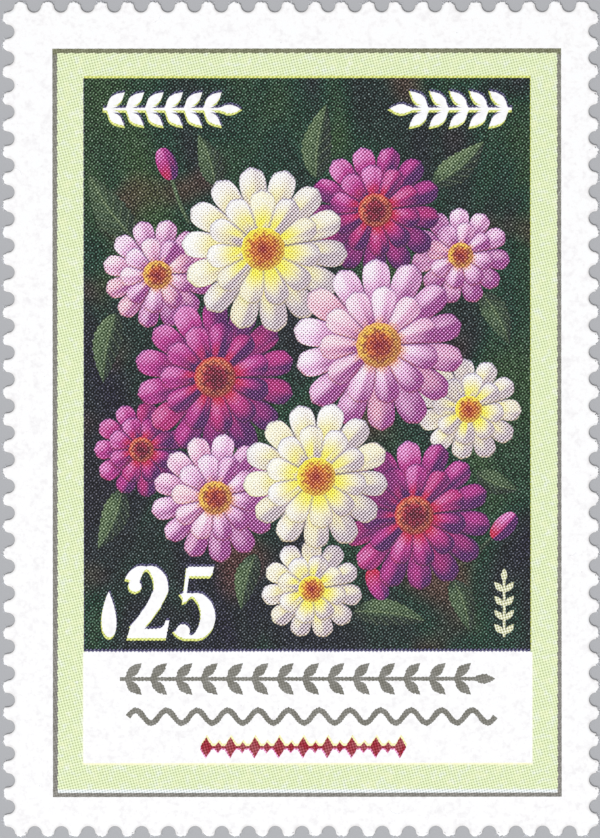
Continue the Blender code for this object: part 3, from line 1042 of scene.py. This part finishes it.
def make_fibres(material):
    """Torn fibres at the tip of every tooth, and a few loose ones on the margins."""
    curve = bpy.data.curves.new("fibres", "CURVE")
    curve.dimensions = "3D"
    curve.bevel_depth = 1
    curve.bevel_resolution = 0
    curve.use_fill_caps = True
    draw = random.Random(7)
    for middle, heading, reach in tooth_middles():
        for _ in range(FIBRES_PER_TOOTH):
            share = draw.uniform(-1, 1)
            rise = share * TIP_HALF_WIDTH
            start = reach - rounding(share) - draw.uniform(*FIBRE_ROOT)
            length = draw.uniform(*FIBRE_LENGTH)
            lean = draw.uniform(-FIBRE_LEAN, FIBRE_LEAN)
            curl = draw.uniform(-FIBRE_CURL, FIBRE_CURL)
            level = draw.uniform(GUM_TOP + FIBRE_OVER_GUM, FACE - FIBRE_UNDER_FACE)
            path = []
            for step in range(FIBRE_STEPS + 1):
                share = step / FIBRE_STEPS
                turn = lean + curl * share
                place = (start + length * share * math.cos(turn * 0.8),
                         rise + length * share * math.sin(turn))
                (x, y), = along(middle, heading, [place])
                path.append((x, y, level + draw.uniform(-FIBRE_WAVER, FIBRE_WAVER)))
            hair(curve, path, draw.uniform(*FIBRE_THICKNESS))
    for start, heading, length, curl in LOOSE_FIBRES:
        path = []
        x, y = start
        for step in range(LOOSE_STEPS + 1):
            path.append((x, y, FACE + LOOSE_LEVEL))
            turn = math.radians(heading + curl * step / LOOSE_STEPS)
            x += length / LOOSE_STEPS * math.cos(turn)
            y += length / LOOSE_STEPS * math.sin(turn)
        hair(curve, path, LOOSE_THICKNESS)
    holder = placed("fibres", curve)
    bm = bmesh.new()
    take_shape(bm, holder)
    bpy.data.objects.remove(holder)
    bmesh.ops.recalc_face_normals(bm, faces=bm.faces)
    piece("paper_fibres", bm, [material], "paper")


def grown(box, amounts):
    """A box with each side moved outward by its own amount: left, bottom, right, top."""
    left, bottom, right, top = box
    return (left - amounts[0], bottom - amounts[1], right + amounts[2], top + amounts[3])


def make_frame_line(material):
    inner = inset(LINE_RECTANGLE, LINE_WIDTH)
    inner = grown(inner, [-amount for amount in LINE_INWARD])
    outer = grown(LINE_RECTANGLE, LINE_GROWTH)
    outside = screened(rectangle(*outer), LINE_OUTER_EDGE, CYAN_ANGLE)
    inside = screened(rectangle(*inner), LINE_INNER_EDGE, CYAN_ANGLE, LINE_INNER_FOOT)
    bm = film([outside, inside], LINE_LEVEL)
    piece("printed_frame_line", bm, [material], "line_ink", "frame_line")


def make_tint(material):
    band = inset(LINE_RECTANGLE, LINE_WIDTH / 2)
    opening = (PICTURE[0] + PICTURE_LAP, PANEL_BOTTOM + PANEL_LAP,
               PICTURE[2] - PICTURE_LAP, PICTURE[3] - 2 * PICTURE_LAP)
    bm = film([rectangle(*band), rectangle(*opening)], TINT_LEVEL)
    piece("printed_tint", bm, [material], "tint_ink", "tint_band")


def cut(bm, cutter, operation, crossing=False):
    """Cut a solid with another one, which is used up; crossing is for one that cuts itself."""
    things = []
    for solid in (bm, cutter):
        mesh = bpy.data.meshes.new("solid")
        solid.to_mesh(mesh)
        things.append(placed("solid", mesh))
    cutter.free()
    boolean = things[0].modifiers.new("cut", "BOOLEAN")
    boolean.operation = operation
    boolean.solver = "EXACT"
    boolean.use_self = crossing
    boolean.object = things[1]
    bm.clear()
    take_shape(bm, things[0])
    for thing in things:
        bpy.data.objects.remove(thing)
    bmesh.ops.dissolve_degenerate(bm, edges=bm.edges, dist=SLIVER)
    bmesh.ops.triangulate(bm, faces=bm.faces)
    return bm


def stacked(*films):
    """Films of ink over each other, each with a shift and with its own material in order."""
    stack = bmesh.new()
    for number, (source, shift) in enumerate(films):
        mesh = bpy.data.meshes.new("film")
        source.to_mesh(mesh)
        corners, faces = len(stack.verts), len(stack.faces)
        stack.from_mesh(mesh)
        stack.verts.ensure_lookup_table()
        stack.faces.ensure_lookup_table()
        bmesh.ops.translate(stack, vec=shift, verts=stack.verts[corners:])
        for face in stack.faces[faces:]:
            face.material_index = number
    return stack


def make_ground(ground, yellow, violet):
    """The dark ground with bare paper left in it: green over the yellow plate, violet beside it."""
    bare = [twig(*LEFT_TWIG), twig(*RIGHT_TWIG), drop(**DROP)]
    edge = screened(rectangle(*grown(PICTURE, PICTURE_GROWTH)), PICTURE_EDGE, under=PICTURE_FOOT)
    outlines = [screened(edge, PICTURE_BLACK_EDGE, BLACK_ANGLE, PICTURE_BLACK_FOOT)]
    outlines += [screened(outline, BARE_EDGE) for outline in bare]
    plate = film(outlines, 0)
    strokes = bmesh.new()
    for stroke in numeral_strokes():
        edges = closed_loop(strokes, screened(stroke, NUMERAL_EDGE), FACE + STROKE_HALF_DEPTH)
        thicken(strokes, fill(strokes, edges), 2 * STROKE_HALF_DEPTH)
    cut(plate, strokes, "DIFFERENCE", crossing=True)
    shifted = plate.copy()
    bmesh.ops.translate(shifted, vec=(*YELLOW_SHIFT, -FACE - FILM / 2), verts=shifted.verts)
    bmesh.ops.scale(shifted, vec=(1, 1, CUTTER_STRETCH), verts=shifted.verts)
    bmesh.ops.translate(shifted, vec=(0, 0, FACE + FILM / 2), verts=shifted.verts)
    both = cut(plate.copy(), shifted, "INTERSECT")
    bm = stacked((plate, (*YELLOW_SHIFT, YELLOW_LEVEL)), (plate, (0, 0, VIOLET_LEVEL)),
                 (both, (0, 0, GROUND_LEVEL)))
    piece("printed_ground", bm, [yellow, violet, ground], "ground_ink", "picture_ground")


class Patches:
    """A bmesh of flat patches that carry where each point lies on its petal or leaf."""

    def __init__(self):
        self.bm = bmesh.new()
        names = ("across", "along", "tone", "number", "fringe", "rim")
        self.layers = {name: self.bm.verts.layers.float.new(name) for name in names}

    def mark(self, corner, **values):
        for name, value in values.items():
            corner[self.layers[name]] = value

    def patch(self, columns, rows, level, number, place, tone, edge=None):
        """A grid laid out by its share across, from -1 to 1, and along, from 0 to 1.

        With an edge, which gives the marks for its nearness, the rows are closer at the tip.
        """
        made = bmesh.ops.create_grid(self.bm, x_segments=columns, y_segments=rows, size=1)
        for corner in made["verts"]:
            across, run = math.sin(corner.co.x * TAU / 4), (corner.co.y + 1) / 2
            if edge:
                run = math.sin(run * TAU / 4)
                self.mark(corner, **edge(across, run))
            spot = place(across, run)
            self.mark(corner, across=across, along=run, number=number,
                      tone=tone(across, run, spot))
            corner.co = (*spot, FACE + level + FILM)

    def finish(self, name, material, slot, *nodes):
        thicken(self.bm, self.bm.faces[:], FILM)
        piece(name, self.bm, [material], slot, *nodes)


def lit(tilt_x, tilt_y):
    """How light a surface with that tilt is, 0.5 where it is level."""
    length = math.sqrt(tilt_x ** 2 + tilt_y ** 2 + 1)
    facing = (tilt_x * PICTURE_LIGHT[0] + tilt_y * PICTURE_LIGHT[1] + PICTURE_LIGHT[2]) / length
    return 0.5 + (facing - PICTURE_LIGHT[2]) * PICTURE_CONTRAST


def tilted(along_tilt, across_tilt, heading):
    """Light on a surface that tilts along and across a heading."""
    x = along_tilt * math.cos(heading) - across_tilt * math.sin(heading)
    y = along_tilt * math.sin(heading) + across_tilt * math.cos(heading)
    return lit(x, y)


def open_sky(spot, fronts):
    """1 in the open, less beside and under the blooms in front, whose shade falls low right."""
    open_share = 1
    for middle, radius in fronts:
        shadow = (middle[0] + SHADOW_SHIFT[0], middle[1] + SHADOW_SHIFT[1])
        distance = math.dist(spot, shadow) - radius * 0.97
        open_share *= DEEPEST_SHADE + (1 - DEEPEST_SHADE) * smooth(-0.25, 0.75, distance)
    return open_share


def ray_reach(across):
    """Tip of a ray: rounded, with two small notches."""
    rounded = NOTCH + (1 - NOTCH) * (1 - abs(across) ** 2.6) ** 0.55
    return rounded - 0.016 * (1 - abs(across)) * (1 - math.cos(2.6 * TAU * across / 2))


def add_ring(patches, middle, inner, outer, rays, turn, level, fronts, covered, draw):
    """One ring of rays; covered is the radius of the ring that lies on it."""
    half_sector = TAU / rays / 2
    for ray in range(rays):
        heading = turn + half_sector * (2 * ray + 1)
        stretch = draw.uniform(*RAY_STRETCH)
        lift = draw.uniform(-RAY_LIFT, RAY_LIFT)
        twist = draw.uniform(-RAY_TWIST, RAY_TWIST)

        def place(across, run):
            radius = inner + run * (outer * stretch * ray_reach(across) - inner)
            spread = half_sector - RAY_GAP / 2 / max(radius, 0.2)
            waist = 1 - 0.10 * (1 - smooth(0.0, 0.5, run))
            return polar(middle, radius, heading + across * spread * waist)

        def tone(across, run, spot):
            arch = 1.25 * (run - 0.52)
            roll = 0.85 * across ** 3 + 0.30 * math.sin(across * math.pi * 1.5) + twist
            light = tilted(arch, roll, heading) + lift
            radius = math.dist(spot, middle)
            shade = 0.42 + 0.58 * smooth(covered * 0.80, covered * 1.16, radius)
            edge = 1 - 0.30 * abs(across) ** 6
            return light * shade * edge * open_sky(spot, fronts)

        def edge(across, run):
            beside = (1 - abs(across)) * half_sector * (inner + run * (outer - inner))
            beyond = (1 - run) * (outer - inner)
            turned = TAU / 4 * (math.copysign(1, across) if beside < beyond else 0.8 * across)
            distance = min(beside, beyond)
            fringe = -math.sin(heading + turned) * (1 - smooth(0, FRINGE_WIDTH, distance))
            return {"fringe": fringe, "rim": 1 - smooth(0, RIM_WIDTH, distance)}

        patches.patch(*RAY_GRID, level, draw.random(), place, tone, edge)


def add_eye(patches, middle, radius, level, fronts):
    """The disc of a bloom: a fan whose points know how far out they lie."""
    rim = bmesh.ops.create_circle(patches.bm, cap_ends=True, segments=EYE_SEGMENTS,
                                  radius=radius)["verts"]
    centre = bmesh.ops.poke(patches.bm, faces=rim[0].link_faces[:])["verts"][0]
    for corner in rim:
        angle = math.atan2(corner.co.y, corner.co.x)
        scallop = radius * (1 - 0.035 * (1 + math.cos(EYE_SCALLOPS * angle)) / 2)
        spot = polar(middle, scallop, angle)
        light = lit(0.9 * math.cos(angle), 0.9 * math.sin(angle))
        patches.mark(corner, along=1, tone=light * open_sky(spot, fronts))
        corner.co = (*spot, FACE + level + FILM)
    patches.mark(centre, along=0, tone=0.62)
    centre.co = (*middle, FACE + level + FILM)


def bloom_levels():
    """How many blooms lie under each one, one on the other."""
    levels = []
    for index, (_, middle, radius, _, _) in enumerate(BLOOMS):
        under = [
            level for level, (_, other, reach, _, _) in zip(levels, BLOOMS[:index])
            if math.dist(middle, other) < radius + reach
        ]
        levels.append(max(under, default=-1) + 1)
    return levels


def make_blooms(petals, eyes):
    """Each bloom is two rings of rays and an eye, shaded by the blooms in front of it."""
    counts = {}
    fronts = []
    draw = random.Random(5)
    for (colour, middle, radius, rays, turn), depth in zip(BLOOMS[::-1], bloom_levels()[::-1]):
        counts[colour] = counts.get(colour, 0) + 1
        name = f"{colour}_bloom_{counts[colour]}"
        near = [front for front in fronts if math.dist(front[0], middle) < front[1] + radius + 1]
        level = BLOOM_LEVEL + depth * BLOOM_STEP
        turn = math.radians(turn)
        eye = radius * EYE_SHARE
        inner = radius * INNER_RING
        rings = Patches()
        add_ring(rings, middle, eye * 0.8, radius, rays, turn, level, near, inner, draw)
        add_ring(rings, middle, eye * 0.6, inner, rays - FEWER_INNER_RAYS, turn,
                 level + RING_STEP, near, eye, draw)
        rings.finish(f"printed_{name}_rays", petals[colour], f"{colour}_ink", f"{name}_petals")
        disc = Patches()
        add_eye(disc, middle, eye, level + 2 * RING_STEP, near)
        disc.finish(f"printed_{name}_disc", eyes[colour], EYE_SLOT[colour], f"{name}_eye")
        fronts.append((middle, radius))
    return fronts


def make_leaves(material, fronts):
    for number, (foot, degrees, length, width) in enumerate(LEAVES, 1):
        heading = math.radians(degrees)
        bend = LEAF_BEND if number % 2 else -LEAF_BEND

        def place(across, run):
            swell = math.sin(math.pi * run ** 0.72) ** 0.85 if 0 < run < 1 else 0.0
            tooth = 1 - 0.16 * ((run * LEAF_TEETH + 0.15) % 1) * abs(across) ** 4
            rise = across * width / 2 * swell * tooth + bend * length * math.sin(math.pi * run)
            return along(foot, heading, [(run * length, rise)])[0]

        def tone(across, run, spot):
            light = tilted(0.5 * (run - 0.5), 0.75 * math.copysign(1, across) * abs(across) ** 0.4,
                           heading)
            return light * open_sky(spot, fronts)

        leaf = Patches()
        leaf.patch(*LEAF_GRID, LEAF_LEVEL, number / len(LEAVES), place, tone)
        bmesh.ops.remove_doubles(leaf.bm, verts=leaf.bm.verts, dist=MERGED)
        leaf.finish(f"printed_leaf_{number}", material, "leaf_ink", f"leaf_{number}")


def make_buds(bud_material, stalk_material, fronts):
    for number, (foot, middle) in enumerate(BUDS, 1):
        heading = math.atan2(middle[1] - foot[1], middle[0] - foot[0])
        length = math.dist(foot, middle) - BUD_HALF_LENGTH * 0.8

        def place_stalk(across, run):
            rise = across * STALK_WIDTH / 2 + STALK_BEND * math.sin(math.pi * run)
            return along(foot, heading, [(run * length, rise)])[0]

        def tone_stalk(across, run, spot):
            return (tilted(0, across, heading) + 0.18) * open_sky(spot, fronts)

        def place_bud(across, run):
            angle = math.pi * (1 - run)
            swell = math.sin(angle) ** 0.8 if 0 < run < 1 else 0.0
            rise = across * BUD_HALF_WIDTH * swell
            return along(middle, heading, [(BUD_HALF_LENGTH * math.cos(angle), rise)])[0]

        def tone_bud(across, run, spot):
            return tilted(1.1 * (run - 0.55), 1.2 * across + 0.4 * math.sin(across * 7), heading)

        stalk = Patches()
        stalk.patch(*STALK_GRID, LEAF_LEVEL, 0.5, place_stalk, tone_stalk)
        stalk.finish(f"printed_stalk_{number}", stalk_material, "leaf_ink", f"stalk_{number}")
        bud = Patches()
        bud.patch(*BUD_GRID, BLOOM_LEVEL, 0.4, place_bud, tone_bud)
        bmesh.ops.remove_doubles(bud.bm, verts=bud.bm.verts, dist=MERGED)
        bud.finish(f"printed_bud_{number}", bud_material, "magenta_ink", f"bud_{number}")


def make_ornaments(grey, red, pale, yellow, rose):
    bm = film([screened(twig(*GREY_TWIG), GREY_TWIG_EDGE)], TINT_LEVEL)
    piece("printed_grey_twig", bm, [grey], "grey_ink", "grey_twig")
    bm = film([screened(wave(**GREY_WAVE), GREY_WAVE_EDGE)], TINT_LEVEL)
    piece("printed_grey_wave", bm, [grey], "grey_ink", "grey_wave")
    bm = film([screened(twig(*SIDE_TWIG), SIDE_TWIG_EDGE)], LEAF_LEVEL)
    piece("printed_side_twig", bm, [pale], "pale_yellow_ink", "side_twig")
    chains = film([screened(chain(**RED_CHAIN), RED_CHAIN_EDGE)], 0)
    bm = stacked((chains, (*YELLOW_SHIFT, YELLOW_LEVEL)), (chains, (*ROSE_SHIFT, VIOLET_LEVEL)),
                 (chains, (0, 0, GROUND_LEVEL)))
    piece("printed_red_chain", bm, [yellow, rose, red], "red_ink", "red_chain")


def make_floor():
    bm = bmesh.new()
    bmesh.ops.create_grid(bm, x_segments=1, y_segments=1, size=FLOOR_HALF_WIDTH * MM)
    bmesh.ops.translate(bm, vec=(0, 0, FLOOR_LEVEL * MM), verts=bm.verts)
    mesh = bpy.data.meshes.new("floor")
    bm.to_mesh(mesh)
    bm.free()
    finish = Finish("pale floor", roughness=0.85)
    mesh.materials.append(finish.coloured(srgb(176, 177, 180), relief=0))
    floor = placed("floor", mesh)


def make_light():
    light = bpy.data.lights.new("soft box", "AREA")
    light.shape = "SQUARE"
    light.size = LAMP_SIZE * MM
    light.energy = LAMP_ENERGY
    box = placed("soft box", light)
    box.location = Vector(LAMP_PLACE) * MM
    box.rotation_euler = box.location.to_track_quat("Z", "Y").to_euler()
    world = bpy.data.worlds.new("studio")
    world.use_nodes = True
    background = world.node_tree.nodes["Background"]
    background.inputs["Color"].default_value = SKY_COLOUR
    background.inputs["Strength"].default_value = SKY_STRENGTH
    bpy.context.scene.world = world
    bpy.context.scene.view_settings.view_transform = "Standard"


def make_camera():
    """Straight above the stamp, framed and turned as in the photograph."""
    camera = bpy.data.cameras.new("camera")
    camera.sensor_width = SENSOR
    camera.lens = SENSOR * CAMERA_DISTANCE / (PHOTO_SIZE[1] * PIXEL)
    camera.clip_start = CLIP_START * MM
    camera.clip_end = CLIP_END * MM
    holder = placed("camera", camera)
    x = (PHOTO_SIZE[0] / 2 - CENTRE_PIXEL[0]) * PIXEL
    y = (CENTRE_PIXEL[1] - PHOTO_SIZE[1] / 2) * PIXEL
    holder.location = (x * MM, y * MM, (FACE + CAMERA_DISTANCE) * MM)
    holder.rotation_euler = (0, 0, -STAMP_TURN)
    bpy.context.scene.camera = holder


make_camera()
make_light()
make_floor()

PETAL_INKS = {
    "cream": petal_finish("cream petal ink", (176, 160, 168), (234, 226, 226), (254, 253, 252),
                          (246, 228, 70), 1.0, 0.70),
    "pink": petal_finish("pink petal ink", (146, 62, 132), (228, 170, 210), (250, 234, 246),
                         (232, 150, 96), 0.44, 0.66),
    "magenta": petal_finish("magenta petal ink", (78, 26, 90), (176, 50, 134), (220, 136, 192),
                            (190, 24, 62), 0.66, 0.50),
}
EYE_INKS = {
    "cream": eye_finish("golden eye ink", (138, 30, 40), (224, 132, 40), (246, 216, 64),
                        (248, 230, 74), (160, 60, 36)),
    "pink": eye_finish("orange eye ink", (138, 30, 44), (208, 102, 46), (242, 190, 66),
                       (232, 156, 90), (122, 30, 48)),
    "magenta": eye_finish("crimson eye ink", (96, 14, 40), (160, 34, 66), (222, 118, 78),
                          (194, 40, 66), (80, 12, 38)),
}
leaf_ink = leaf_finish()
make_sheet(paper_finish(), gum_finish())
make_fibres(fibre_finish())
make_frame_line(line_finish())
make_tint(tint_finish())
make_ground(ground_finish(), plate_finish("yellow plate ink", (214, 221, 122), 0.34),
            plate_finish("violet plate ink", (72, 68, 104), 0.5))
fronts = make_blooms(PETAL_INKS, EYE_INKS)
make_leaves(leaf_ink, fronts)
make_buds(PETAL_INKS["magenta"], leaf_ink, fronts)
make_ornaments(plain_ink("grey ornament ink", (119, 117, 108)),
               plain_ink("red ornament ink", (148, 4, 34), 0.26),
               plain_ink("pale yellow ornament ink", (216, 217, 176), 0.55),
               plate_finish("yellow fringe ink", (253, 246, 184)),
               plate_finish("rose fringe ink", (234, 128, 182), 0.6))
